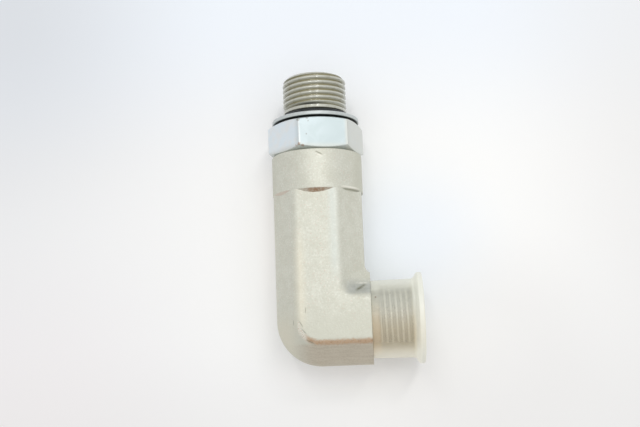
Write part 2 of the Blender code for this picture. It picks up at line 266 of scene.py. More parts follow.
def settle(piece: Object, tools: Sequence[Object] = ()) -> None:
    """Make a piece's modifiers part of its mesh and remove the tools they used."""
    view = bpy.context.evaluated_depsgraph_get()
    mesh = bpy.data.meshes.new_from_object(piece.evaluated_get(view))
    mesh.name = piece.name
    piece.modifiers.clear()
    piece.data = mesh
    for tool in tools:
        bpy.data.objects.remove(tool, do_unlink=True)


@dataclass(frozen=True)
class PipeThread:
    """A right-hand pipe thread: its form, and where its groove runs."""

    groove_at: float
    first_turn: float = NEVER
    land_end: float = NEVER
    land_slope: float = 0.25
    radius: float = THREAD_RADIUS
    pitch: float = 1.337
    depth: float = 0.8
    crest: float = 0.34
    flank_angle: float = math.radians(27.5)
    run_out: float = 0.25

    def cut(self, angle: Array, along: Array) -> Array:
        """Work out how deep the groove is at points of the blank.

        The groove's middle climbs one pitch a turn, h = h0 + pitch * a / 2 pi.
        A point's distance from the nearest middle runs from 0 to half a
        pitch. From the root's half width to the crest's the depth falls off
        by a smooth step. At its first turn the groove lifts out of the metal,
        and up to the land's end it doesn't cut at all.

        Args:
            angle: angles round the axis.
            along: distances along it.

        Returns:
            Depths under the crest, in millimetres.
        """
        turn = (along - self.groove_at) / self.pitch - angle / FULL_TURN
        nearest = np.round(turn)
        offset = np.abs(turn - nearest) * self.pitch
        crest_half = (self.pitch - self.crest) / 2
        root_half = crest_half - self.depth * math.tan(self.flank_angle)
        flank = np.clip((crest_half - offset) / (crest_half - root_half), 0, 1)
        depth = self.depth * flank * flank * (3 - 2 * flank)
        progress = (nearest + angle / FULL_TURN - self.first_turn) / self.run_out
        lift = (self.depth + self.crest) * (1 - np.clip(progress, 0, 1))
        land = np.clip((along - self.land_end) / self.land_slope, 0, 1)
        return np.maximum(0, depth - lift) * land


def turned_piece(
    name: str,
    axis: Axis,
    path: Array,
    thread: Optional[PipeThread] = None,
    steps: int = TURN_STEPS,
) -> Object:
    """Turn a closed profile into a ring or a solid.

    The surface is (r, a, h) with r and h from the profile and a once round.
    Where a thread is cut, r is at most the groove's floor.

    Args:
        name: the piece's name.
        axis: the run that it lies on.
        path: (radius, along) points, whose last joins the first.
        thread: the thread to cut.
        steps: how many columns the surface has.

    Returns:
        The new object.
    """
    angle = np.arange(steps)[None, :] * FULL_TURN / steps
    radius, along, angle = np.broadcast_arrays(path[:, :1], path[:, 1:], angle)
    if thread is not None:
        radius = np.minimum(radius, thread.radius - thread.cut(angle, along))
    points = place(axis, radius, angle, along)
    return make_piece(name, points, grid_quads(len(path), steps, close_rows=True))


def math_method(operation: str, swapped: bool = False) -> Callable[..., "Scalar"]:
    """Make a method of Scalar that adds one Math node.

    Args:
        operation: Blender's name of the operation.
        swapped: whether the other value comes before the Scalar.

    Returns:
        The method, which takes the other value where there is one.
    """

    def method(self: "Scalar", *others: Number) -> "Scalar":
        """Add the Math node and give its result."""
        values = (*others, self) if swapped else (self, *others)
        inputs = dict(enumerate(values))
        made = self.recipe.node("ShaderNodeMath", {"operation": operation}, inputs)
        return Scalar(self.recipe, made.outputs[0])

    return method


class Scalar:
    """A number that varies over a surface, for use in Python sums.

    at_most gives the lesser of two values and at_least the greater.
    """

    def __init__(self, recipe: "Recipe", socket: Socket) -> None:
        """Wrap a float socket of a recipe's node tree."""
        self.recipe = recipe
        self.socket = socket

    __add__ = __radd__ = math_method("ADD")
    __mul__ = __rmul__ = math_method("MULTIPLY")
    __sub__ = math_method("SUBTRACT")
    __rsub__ = math_method("SUBTRACT", swapped=True)
    __pow__ = math_method("POWER")
    __abs__ = math_method("ABSOLUTE")
    at_most = math_method("MINIMUM")
    at_least = math_method("MAXIMUM")

    def rise(self, low: float, high: float) -> "Scalar":
        """Go smoothly from 0 at low to 1 at high; low may be the greater."""
        made = self.recipe.node(
            "ShaderNodeMapRange",
            {"interpolation_type": "SMOOTHSTEP"},
            {"Value": self, "From Min": low, "From Max": high},
        )
        return Scalar(self.recipe, made.outputs["Result"])

    def near(self, value: float, reach: float) -> "Scalar":
        """Give 1 at value, falling smoothly to 0 at reach from it."""
        return abs(self - value).rise(reach, 0.0)


@dataclass(frozen=True)
class Noise:
    """A fractal noise from about 0 to 1.

    The scale is how many features lie in a millimetre, the detail how many
    finer layers there are, and the offset moves the pattern so that two
    differ. A stretch under 1 makes features long in its direction.
    """

    scale: float
    detail: float
    offset: float = 0.0
    stretch: Spot = (1.0, 1.0, 1.0)
    distortion: float = 0.0


@dataclass(frozen=True)
class Region:
    """A soft region of a surface, in millimetres, and the tint laid on it.

    A span (a, b) goes from 0 at a to 1 at b, and a second pair in it ends
    the region. A peak (m, r) is 1 at m and 0 at r from it. The span away is
    that of the distance from a spot. The region is the product of them all.
    """

    tint: Colour
    strength: float = 1.0
    x: Span = ()
    y: Span = ()
    z: Span = ()
    peak_x: Span = ()
    peak_y: Span = ()
    spot: Spot = (0.0, 0.0, 0.0)
    away: Span = ()


Layer = Union[Region, tuple[Number, Tint]]


class Recipe:
    """A material's nodes, on the piece's own coordinates in millimetres."""

    def __init__(self, name: str) -> None:
        """Start a material and centre its pattern on the elbow's centre."""
        self.material = bpy.data.materials.new(name)
        self.material.use_nodes = True
        self.tree = self.material.node_tree
        self.tree.nodes.clear()
        coordinates = self.node("ShaderNodeTexCoord").outputs["Object"]
        shifted = self.vector("SUBTRACT", {0: coordinates, 1: tuple(CENTRE)})
        self.spot = self.vector("SCALE", {0: shifted, "Scale": 1 / MILLIMETRE})
        parts = self.node("ShaderNodeSeparateXYZ", {}, {0: self.spot})
        self.x, self.y, self.z = (Scalar(self, socket) for socket in parts.outputs[:3])

    def node(
        self, kind: str, settings: Optional[dict] = None, inputs: Optional[dict] = None
    ) -> bpy.types.Node:
        """Add a node.

        Args:
            kind: Blender's type name of the node.
            settings: its properties.
            inputs: a value, Scalar or socket for each input named or numbered.

        Returns:
            The node.
        """
        made = self.tree.nodes.new(kind)
        for name, value in (settings or {}).items():
            setattr(made, name, value)
        for name, value in (inputs or {}).items():
            if isinstance(name, int):
                socket = made.inputs[name]
            else:
                socket = next(s for s in made.inputs if s.name == name and s.enabled)
            if isinstance(value, Scalar):
                value = value.socket
            if isinstance(value, Socket):
                self.tree.links.new(value, socket)
            elif socket.type == "RGBA":
                socket.default_value = (*value, 1.0)
            else:
                socket.default_value = value
        return made

    def vector(self, operation: str, inputs: dict) -> Socket:
        """Add a Vector Math node and give the vector it makes."""
        return self.node("ShaderNodeVectorMath", {"operation": operation}, inputs).outputs[0]

    def noise(self, kind: Noise) -> Scalar:
        """Add a noise."""
        inputs = {"Vector": self.spot, "Location": (kind.offset,) * 3, "Scale": kind.stretch}
        inputs = {
            "Vector": self.node("ShaderNodeMapping", {}, inputs).outputs[0],
            "Scale": kind.scale,
            "Detail": kind.detail,
            "Distortion": kind.distortion,
        }
        return Scalar(self, self.node("ShaderNodeTexNoise", {}, inputs).outputs[0])

    def distance_from(self, spot: Spot) -> Scalar:
        """Give the distance from a point, in millimetres."""
        settings = {"operation": "DISTANCE"}
        made = self.node("ShaderNodeVectorMath", settings, {0: self.spot, 1: spot})
        return Scalar(self, made.outputs["Value"])

    def radius_round(self, axis: Axis) -> Scalar:
        """Give the distance from the stud's or the branch's axis."""
        across = self.x if axis is Axis.STUD else self.y
        return (across * across + self.z * self.z) ** 0.5

    def mask(self, region: Region) -> Scalar:
        """Give how strongly a region takes its tint, from 0 to its strength."""
        spans = [(self.x, region.x), (self.y, region.y), (self.z, region.z)]
        if region.away:
            spans.append((self.distance_from(region.spot), region.away))
        pairs = [(value, span[i : i + 2]) for value, span in spans for i in range(0, len(span), 2)]
        fades = [value.rise(*pair) for value, pair in pairs]
        peaks = [(self.x, region.peak_x), (self.y, region.peak_y)]
        fades += [value.near(*peak) for value, peak in peaks if peak]
        return math.prod(fades, start=region.strength)

    def streak(self, x: float, y: float, angle: float, length: float, width: float) -> Scalar:
        """Mask a short straight mark on the upper side, seen from above.

        Args:
            x: where it starts, in millimetres.
            y: the same.
            angle: its direction, in radians from +X towards +Y.
            length: how long it is.
            width: how far it fades to each side.

        Returns:
            A mask from 0 to 1.
        """
        across = self.x - x
        ahead = self.y - y
        along = across * math.cos(angle) + ahead * math.sin(angle)
        away = ahead * math.cos(angle) - across * math.sin(angle)
        ends = along.rise(-0.4, 0.5) * along.rise(length + 0.4, length - 0.5)
        return away.near(0.0, width) * ends * self.z.rise(*UPPER_SIDE)

    def marks(self, marks: Sequence[Mark], fine: Scalar) -> Scalar:
        """Mask small ragged marks.

        Args:
            marks: (x, y, z, reach) of each mark, in millimetres.
            fine: the noise that frays them.

        Returns:
            A mask from 0 to 1.
        """
        masks = []
        for *spot, reach in marks:
            away = self.distance_from(tuple(spot)) + (fine - 0.5) * 1.6 * reach
            masks.append(away.rise(reach, reach * 0.5))
        return reduce(Scalar.at_least, masks)

    def layers(self, colour: Tint, *layers: Layer) -> Socket:
        """Lay tints over a colour, the lowest first.

        Args:
            colour: the colour or colour socket that they lie on.
            layers: regions, or pairs of a mask and the tint that it lays.

        Returns:
            The colour's socket.
        """
        for layer in layers:
            mask, tint = (self.mask(layer), layer.tint) if isinstance(layer, Region) else layer
            inputs = {"Factor": mask, "A": colour, "B": tint}
            mixed = self.node("ShaderNodeMix", {"data_type": "RGBA"}, inputs)
            colour = next(socket for socket in mixed.outputs if socket.enabled)
        return colour

    def bump(self, height: Scalar, distance: float, strength: float) -> Socket:
        """Turn heights into a bent normal.

        Args:
            height: the relief, from 0 to 1.
            distance: how tall 1 is, in millimetres.
            strength: how much of it shows.

        Returns:
            The normal's socket.
        """
        inputs = {"Strength": strength, "Distance": distance * MILLIMETRE, "Height": height}
        return self.node("ShaderNodeBump", {}, inputs).outputs["Normal"]

    def finish(self, **inputs: Union[Number, Tint]) -> Material:
        """Put a Principled shader on the surface.

        Args:
            inputs: its inputs, such as base_color for "Base Color".

        Returns:
            The material.
        """
        named = {name.replace("_", " ").title(): value for name, value in inputs.items()}
        shader = self.node("ShaderNodeBsdfPrincipled", {}, named)
        self.node("ShaderNodeOutputMaterial", {}, {"Surface": shader.outputs[0]})
        return self.material


class Finish(Protocol):
    """What every finish has: the name of a CAD material slot, and its material."""

    slot: str

    def material(self) -> Material:
        """Build the material."""


@dataclass(frozen=True)
class SatinZinc:
    """Satin zinc plate on the forging, with its wear.

    The fine grain is that of a blasted forging. Brown shows where the plate
    is thin: along the flat's lower edge and faintly on the lower flank. The
    inner corner's recess is painted a darker bluish grey as shade and made
    smoother, with one dark dent. The start of the brown line is scratched and
    painted pale as a highlight, and painted highlights lie along the flat's
    edges, on its rounded lower left corner and on a ridge at the inner corner.
    """

    name: str = "satin_zinc_plate"
    slot: str = "satin_zinc_plated_steel"
    pale: Colour = (0.715, 0.715, 0.62)
    dull: Colour = (0.625, 0.62, 0.52)
    frost: Colour = (0.86, 0.86, 0.78)
    highlight_cream: Colour = (0.83, 0.77, 0.61)
    cool: Colour = (0.7, 0.74, 0.69)
    pink: Colour = (0.7, 0.56, 0.47)
    chalk_and_highlight: Colour = (0.93, 0.9, 0.8)
    corner_shade: Colour = (0.385, 0.405, 0.38)
    dent_dark: Colour = (0.2, 0.2, 0.14)
    edge_brown: Colour = (0.5, 0.285, 0.14)
    step_brown: Colour = (0.385, 0.225, 0.13)
    flank_brown: Colour = (0.52, 0.44, 0.335)
    flank_dark: Colour = (0.4, 0.33, 0.24)
    flank_light: Colour = (0.7, 0.63, 0.52)
    metallic: float = 0.25
    roughness: float = 0.52
    patches: Noise = Noise(0.35, 3.0)
    grain: Noise = Noise(2.4, 2.0, 7.0)
    fine: Noise = Noise(5.5, 1.0, 3.0)
    specks: Noise = Noise(3.2, 0.0, 21.0)
    ragged: Noise = Noise(1.3, 3.0, 31.0)
    streaks: Noise = Noise(1.6, 2.0, 11.0, stretch=(0.12, 1.0, 1.0))
    patch_relief: float = 0.6
    relief: float = 0.16
    corner_radius: float = 5.6
    # The first wash darkens the plate towards the heel. The cream washes are painted warm
    # highlights, along the flat's left edge and on the heel's rounded lower left corner. The cool
    # wash is a painted bluish white highlight near the flat's right edge.
    washes: tuple[Region, ...] = (
        Region(dull, 0.65, y=(8.0, -4.0)),
        Region(highlight_cream, 0.45, peak_x=(-4.6, 2.2), y=(-4.0, 2.0, 26.0, 14.0), z=UPPER_SIDE),
        Region(cool, 0.6, peak_x=(4.2, 2.0), y=(7.0, 16.0), z=UPPER_SIDE),
        Region(highlight_cream, 0.4, x=(-4.0, -9.0), y=(4.0, -4.0), z=(1.0, 5.0)),
    )
    flank: Region = Region(flank_brown, x=(-8.5, -1.5), y=(-5.4, -6.4))
    # The start of the brown line: painted pale as a highlight on the flat's rounded corner, with
    # scratches over it.
    line_start: Region = Region(chalk_and_highlight, x=(-2.6, -4.0, -5.7, -5.3), z=UPPER_SIDE)
    line_run: Region = Region(edge_brown, x=(-4.2, -2.6), z=UPPER_SIDE)
    # The inner corner's recess: painted shade, a darker bluish grey, on a smoother plate.
    corner: Region = Region(corner_shade, x=(5.2, 8.4), y=(5.4, 6.5, 10.6, 7.6), z=UPPER_SIDE)
    # A painted highlight along a ridge at the inner corner.
    ridge_highlight: Region = Region(chalk_and_highlight, 0.6, x=(8.6, 9.6, 12.4, 11.2), peak_y=(8.75, 0.35), z=UPPER_SIDE)
    fold: Streak = (9.2, 6.9, math.radians(33.7), 2.6, 0.55)
    scratches: tuple[Streak, ...] = (
        (-3.42, 2.9, -1.62, 1.3, 0.17),
        (-6.56, -0.05, -1.6, 1.1, 0.17),
        (-5.11, -0.3, -0.99, 1.6, 0.21),
        (-4.56, -2.2, -0.82, 1.6, 0.19),
        (-3.46, -4.89, -0.47, 2.0, 0.24),
    )

    def line_distance(self, recipe: Recipe) -> Scalar:
        """Give the distance from the flat's lower edge.

        The edge is the line y = -corner_radius on the branch's side of the
        centre and a circle of that radius round the centre at the heel.
        Above the centre the distance grows by 20, past every mask's end.
        """
        left = recipe.x.at_most(0.0)
        below = (left * left + recipe.y * recipe.y) ** 0.5
        return abs(below - self.corner_radius) + recipe.y.rise(-0.5, 1.5) * 20.0

    def wear(
        self, recipe: Recipe, colour: Tint, grain: Scalar, fine: Scalar
    ) -> tuple[Tint, Number]:
        """Lay the wear on the plate.

        Args:
            recipe: the material's nodes.
            colour: the clean plate's colour.
            grain: the noise of its grain.
            fine: the noise of its finest grain.

        Returns:
            The colour, and how far the plate is rubbed smooth.
        """
        ragged = recipe.noise(self.ragged)
        streaks = recipe.noise(self.streaks)
        flank = recipe.mask(self.flank) * (0.3 + recipe.z.rise(0.5, 4.5) * 0.7)
        grained = streaks.rise(0.35, 0.65) - 0.5 + (grain.rise(0.4, 0.62) - 0.5) * 0.7
        grained = grained * flank * 0.3
        line = (self.line_distance(recipe) + (ragged - 0.5) * 1.1).rise(0.95, 0.15)
        start = line * recipe.mask(self.line_start)
        line = line * recipe.mask(self.line_run)
        scratched = reduce(Scalar.at_least, [recipe.streak(*mark) for mark in self.scratches])
        corner = recipe.mask(self.corner)
        colour = recipe.layers(
            colour,
            *self.washes,
            (flank * 0.7, self.flank_brown),
            (grained, self.flank_dark),
            (grained * -1.0, self.flank_light),
            # Painted highlight at the start of the brown line, flecked with brown.
            (start * 0.6, self.chalk_and_highlight),
            (start * fine.rise(0.55, 0.7), self.edge_brown),
            (line * (0.25 + fine * 0.9), self.edge_brown),
            (line * ragged.rise(0.5, 0.62) * 0.45, self.step_brown),
            (scratched * (0.35 + fine * 0.8) * 0.75, self.dent_dark),
            # Painted shade: the inner corner's recess darkened to bluish grey.
            (corner * (0.4 + ragged * 0.5), self.corner_shade),
            (recipe.streak(*self.fold) * (0.3 + ragged), self.dent_dark),
            # Painted highlight along the ridge at the inner corner.
            (recipe.mask(self.ridge_highlight) * ragged.rise(0.3, 0.6), self.chalk_and_highlight),
        )
        return colour, corner

    def material(self) -> Material:
        """Build the material: patches, grain and specks, with the wear on them."""
        recipe = Recipe(self.name)
        patches = recipe.noise(self.patches)
        grain = recipe.noise(self.grain)
        fine = recipe.noise(self.fine)
        specks = recipe.noise(self.specks).rise(0.7, 0.78)
        clean = recipe.layers(
            self.pale,
            (patches.rise(0.3, 0.7) * 0.6, self.dull),
            (grain.rise(0.5, 0.7) * 0.5, self.dull),
            (grain.rise(0.44, 0.3) * 0.4, self.frost),
            (specks * 0.5, self.pink),
        )
        colour, corner_shade = self.wear(recipe, clean, grain, fine)
        height = patches * self.patch_relief + grain * 0.3 + fine * 0.12
        return recipe.finish(
            base_color=colour,
            metallic=self.metallic,
            roughness=self.roughness + (grain - 0.5) * 0.25 - corner_shade * 0.18,
            normal=recipe.bump(height, self.relief, 0.8),
        )


@dataclass(frozen=True)
class BarrelZinc(SatinZinc):
    """The same plate on the turned barrel, with brown in its lower step."""

    name: str = "barrel_zinc_plate"
    patches: Noise = Noise(0.4, 3.0, 5.0)
    ragged: Noise = Noise(1.5, 3.0, 31.0, stretch=(1.0, 2.2, 1.0))
    patch_relief: float = 0.5
    relief: float = 0.14
    olive: Colour = (0.24, 0.23, 0.16)
    shade: Colour = (0.56, 0.555, 0.45)
    scratch: Streak = (0.5, 41.75, math.radians(-27.0), 1.7, 0.28)
    burr: Streak = (0.85, 41.05, math.radians(-27.0), 1.2, 0.3)
    crescent: Region = Region(SatinZinc.step_brown, peak_x=(0.5, 6.0), y=(32.65, 32.45))
    step_edges: tuple[Region, ...] = (
        Region(SatinZinc.pink, 0.6, x=(-4.5, -6.5), y=(32.65, 32.45)),
        Region(olive, 0.8, x=(5.8, 7.8), peak_y=(32.35, 0.35)),
        # Painted highlight on the right of the step's upper lip.
        Region(SatinZinc.chalk_and_highlight, 0.8, x=(6.0, 7.5, 11.5, 9.5), peak_y=(32.95, 0.4)),
    )

    def wear(
        self, recipe: Recipe, colour: Tint, grain: Scalar, fine: Scalar
    ) -> tuple[Tint, Number]:
        """Lay the wear on the plate, which is made smoother nowhere."""
        ragged = recipe.noise(self.ragged)
        brown = recipe.mask(self.crescent) * (0.5 + ragged.rise(0.32, 0.58) * 0.5)
        colour = recipe.layers(
            colour,
            (abs(recipe.x + 0.5).rise(9.0, 11.5) * 0.6, self.shade),
            (recipe.streak(*self.scratch) * 0.8, self.olive),
            (recipe.streak(*self.burr) * 0.6, self.chalk_and_highlight),
            (brown, self.step_brown),
            (brown * fine.rise(0.52, 0.7) * 0.4, self.olive),
            *self.step_edges,
        )
        return colour, 0.0


@dataclass(frozen=True)
class ThreadZinc:
    """Zinc plate on cut threads: bright crests over olive-brown roots."""

    name: str
    axis: Axis
    end: float
    slot: str = "satin_zinc_plated_steel"
    crest: Colour = (0.56, 0.56, 0.485)
    root: Colour = (0.31, 0.275, 0.145)
    bore: Colour = (0.36, 0.33, 0.26)
    metallic: float = 0.15
    roughness: float = 0.5
    sheen: float = 1.0
    sheen_roughness: float = 0.1
    crest_depth: float = 0.46
    root_depth: float = 0.77
    start: Span = (12.0, 13.0)
    bore_edge: Span = (5.6, 5.0)
    groove: Region = Region(root, 0.0)
    groove_depth: Span = (8.25, 7.9)
    mottle: Noise = Noise(0.9, 3.0)
    scratches: Noise = Noise(2.2, 2.0, 9.0, stretch=(1.0, 0.1, 1.0))

    def material(self) -> Material:
        """Build the material."""
        recipe = Recipe(self.name)
        radius = recipe.radius_round(self.axis)
        along = recipe.y if self.axis is Axis.STUD else recipe.x
        mottle = recipe.noise(self.mottle)
        depth = radius.rise(THREAD_RADIUS - self.crest_depth, THREAD_RADIUS - self.root_depth)
        on_thread = along.rise(*self.start) * along.rise(self.end - 0.05, self.end - 0.3)
        colour = recipe.layers(
            self.crest,
            (depth * on_thread * 0.9, self.root),
            (mottle.rise(0.5, 0.75) * 0.35, self.root),
            # Painted shade in a groove's floor: on the stud this darkens the last groove nearly to
            # black.
            (radius.rise(*self.groove_depth) * recipe.mask(self.groove), self.groove.tint),
            (radius.rise(*self.bore_edge), self.bore),
        )
        return recipe.finish(
            base_color=colour,
            metallic=self.metallic,
            roughness=self.roughness + (mottle - 0.5) * 0.2 + depth * 0.1,
            coat_weight=self.sheen,
            coat_roughness=self.sheen_roughness,
            normal=recipe.bump(recipe.noise(self.scratches) + mottle, 0.012, 0.7),
        )


@dataclass(frozen=True)
class BrightZinc:
    """Bright bluish zinc plate on the locknut, scuffed and nicked brown at a corner."""

    name: str = "bright_zinc_plate"
    slot: str = "bright_zinc_steel"
    cyan: Colour = (0.57, 0.655, 0.665)
    lilac: Colour = (0.815, 0.895, 0.94)
    pearl: Colour = (0.85, 0.88, 0.88)
    beige: Colour = (0.66, 0.675, 0.62)
    highlight_white: Colour = (0.97, 0.97, 0.94)
    grey: Colour = (0.33, 0.33, 0.3)
    brown: Colour = (0.38, 0.23, 0.14)
    metallic: float = 0.25
    roughness: float = 0.36
    low_edge: Region = Region(beige, 0.6, y=(44.6, 43.2))
    # Painted light: the right facet is tinted beige for how the light falls on it.
    right_side: Region = Region(beige, 0.85, x=(7.6, 8.6))
    clouds: Noise = Noise(0.22, 2.0, distortion=0.6)
    fine: Noise = Noise(2.6, 3.0, 13.0)
    haze: Noise = Noise(0.35, 1.0, 5.0)
    # A painted highlight along the nut's left corner edge.
    edge: Streak = (-3.68, 50.3, math.radians(-87.4), 6.4, 0.45)
    nicks: tuple[Mark, ...] = (
        (-3.6, 43.75, 12.1, 0.58),
        (-2.7, 43.4, 11.7, 0.52),
        (-4.5, 43.35, 11.5, 0.52),
    )
    scuffs: tuple[Mark, ...] = (
        (-3.75, 50.2, 12.1, 0.7),
        (-1.45, 50.5, 11.65, 0.45),
        (-1.65, 46.3, 11.72, 0.24),
        (-1.1, 49.7, 11.58, 0.2),
    )

    def material(self) -> Material:
        """Build the material."""
        recipe = Recipe(self.name)
        clouds = recipe.noise(self.clouds)
        fine = recipe.noise(self.fine)
        haze = recipe.noise(self.haze).rise(0.35, 0.65)
        colour = recipe.layers(
            self.cyan,
            (clouds.rise(0.4, 0.62) * 0.2, self.lilac),
            # Painted light: the side facets are painted lilac and pearl, lighter than the cyan
            # front facet, for how the light falls on each.
            (abs(recipe.x - 2.5).rise(5.5, 7.5), recipe.layers(self.lilac, (haze, self.pearl))),
            self.low_edge,
            self.right_side,
            # Painted highlight on the left corner edge.
            (recipe.streak(*self.edge) * 0.4, self.highlight_white),
            (recipe.marks(self.scuffs, fine) * 0.7, self.grey),
            (recipe.marks(self.nicks, fine) * 0.7, self.brown),
        )
        return recipe.finish(
            base_color=colour,
            metallic=self.metallic,
            roughness=self.roughness + (fine - 0.5) * 0.16,
            normal=recipe.bump(clouds + fine * 0.05, 0.05, 0.5),
        )


@dataclass(frozen=True)
class WasherZinc:
    """Bright zinc plate on the stamped backup washer, with painted shade on its underside inside
    the rim.
    """

    name: str = "washer_zinc_plate"
    slot: str = "washer_zinc_steel"
    bright: Colour = (0.6, 0.64, 0.63)
    dull: Colour = (0.52, 0.55, 0.53)
    # Painted shade on the underside, between the washer and the nut.
    underside_shade: Colour = (0.04, 0.045, 0.04)
    underside_shade_height: Span = (51.64, 51.54)
    underside_shade_radius: Span = (11.3, 10.95)
    scuffs: Noise = Noise(1.1, 3.0, distortion=0.4)
    metallic: float = 0.15
    roughness: float = 0.4

    def material(self) -> Material:
        """Build the material."""
        recipe = Recipe(self.name)
        scuffs = recipe.noise(self.scuffs)
        inward = recipe.radius_round(Axis.STUD).rise(*self.underside_shade_radius)
        colour = recipe.layers(
            self.bright,
            (scuffs.rise(0.45, 0.7) * 0.6, self.dull),
            # Painted shade: the underside, inside the rim, darkened nearly to black where it faces
            # the nut.
            (recipe.y.rise(*self.underside_shade_height) * inward, self.underside_shade),
        )
        return recipe.finish(
            base_color=colour,
            metallic=self.metallic,
            roughness=self.roughness + (scuffs - 0.5) * 0.2,
            normal=recipe.bump(scuffs, 0.03, 0.6),
        )


@dataclass(frozen=True)
class BlackNitrile:
    """Moulded black rubber with a slight bloom."""

    name: str = "black_nitrile_rubber"
    slot: str = "black_nitrile"
    black: Colour = (0.012, 0.013, 0.014)
    bloom: Colour = (0.04, 0.042, 0.045)
    dust: Noise = Noise(1.8, 3.0)

    def material(self) -> Material:
        """Build the material."""
        recipe = Recipe(self.name)
        dust = recipe.noise(self.dust)
        return recipe.finish(
            base_color=recipe.layers(self.black, (dust.rise(0.45, 0.75) * 0.6, self.bloom)),
            roughness=0.36 + dust * 0.2,
            normal=recipe.bump(dust, 0.01, 0.5),
        )


@dataclass(frozen=True)
class NaturalPolyethylene:
    """Milky uncoloured polyethylene that the thread shows through.

    The wall is thin in the middle and denser where it is seen edge on. The
    flange is nearly opaque. Light that the plastic scatters inside is added
    as a faint glow, stronger at the mouth, the flange's root and the low side.
    """

    name: str = "natural_polyethylene_cap"
    slot: str = "natural_polyethylene"
    milk: Colour = (0.9, 0.9, 0.805)
    amber: Colour = (0.82, 0.715, 0.52)
    peach: Colour = (0.96, 0.765, 0.54)
    dirt: Colour = (0.13, 0.07, 0.045)
    wall_alpha: float = 0.29
    edge_alpha: float = 0.46
    flange_alpha: float = 0.88
    emission: float = 0.5
    glow: float = 0.1
    flange: Span = (23.1, 23.6)
    flange_low: Span = (22.55, 23.3)
    flange_high: Span = (23.1, 25.0)
    flange_root: Region = Region(milk, 0.17, x=(22.7, 23.5, 24.9, 24.1))
    neck: Span = (15.1, 14.1)
    side: Span = (5.5, 9.6)
    clouds: Noise = Noise(0.5, 2.0, 2.0)
    fine: Noise = Noise(2.0, 2.0, 17.0)
    speck: Region = Region(dirt, spot=(13.75, 4.95, 8.45), away=(0.42, 0.16))

    def material(self) -> Material:
        """Build the material."""
        recipe = Recipe(self.name)
        x, y = recipe.x, recipe.y
        clouds = recipe.noise(self.clouds)
        edge = abs(y).rise(*self.side)
        warm = y.rise(4.5, -4.2) * (1.0 - edge * 0.6) * (1.0 - x.rise(*self.flange) * 0.7)
        neck = x.rise(*self.neck) * (1.0 - edge)
        colour = recipe.layers(
            self.milk,
            (warm * 0.9, self.amber),
            # The peach tint at the neck is painted glow, and it also tints the emission there.
            (neck * y.rise(5.5, -3.0) * 0.55, self.peach),
        )
        milky = x.rise(*self.flange_low) * 0.45 + x.rise(*self.flange_high) * 0.55
        thin = 1.0 - milky
        alpha = self.wall_alpha + milky * (self.flange_alpha - self.wall_alpha)
        alpha = alpha + edge * thin * self.edge_alpha
        low = y.rise(-6.8, -9.4) * thin
        light = self.glow + recipe.mask(self.flange_root) + low * 0.13 + neck * 0.2
        lit = recipe.vector("SCALE", {0: colour, "Scale": light})
        speck = recipe.mask(self.speck)
        return recipe.finish(
            base_color=recipe.layers(colour, (speck, self.dirt)),
            roughness=0.34 + (clouds - 0.5) * 0.15,
            alpha=alpha + (clouds - 0.5) * 0.1 + speck * 0.5,
            emission_color=lit,
            emission_strength=self.emission,
            normal=recipe.bump(clouds + recipe.noise(self.fine) * 0.2, 0.04, 0.4),
        )


def dress(piece: Object, finish: Finish, body: Body, node: str) -> None:
    """Give a piece its finish and its place among the CAD nodes.

    Args:
        piece: the new piece.
        finish: what its surface is like.
        body: the body that it rides on.
        node: the CAD node that it stands for.
    """
    piece.data.materials.clear()
    piece.data.materials.append(finish.material())
    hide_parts(node)
    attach(piece, body.value)
    LOG.info("%s: %d faces, rides on %s", piece.name, len(piece.data.polygons), body.value)


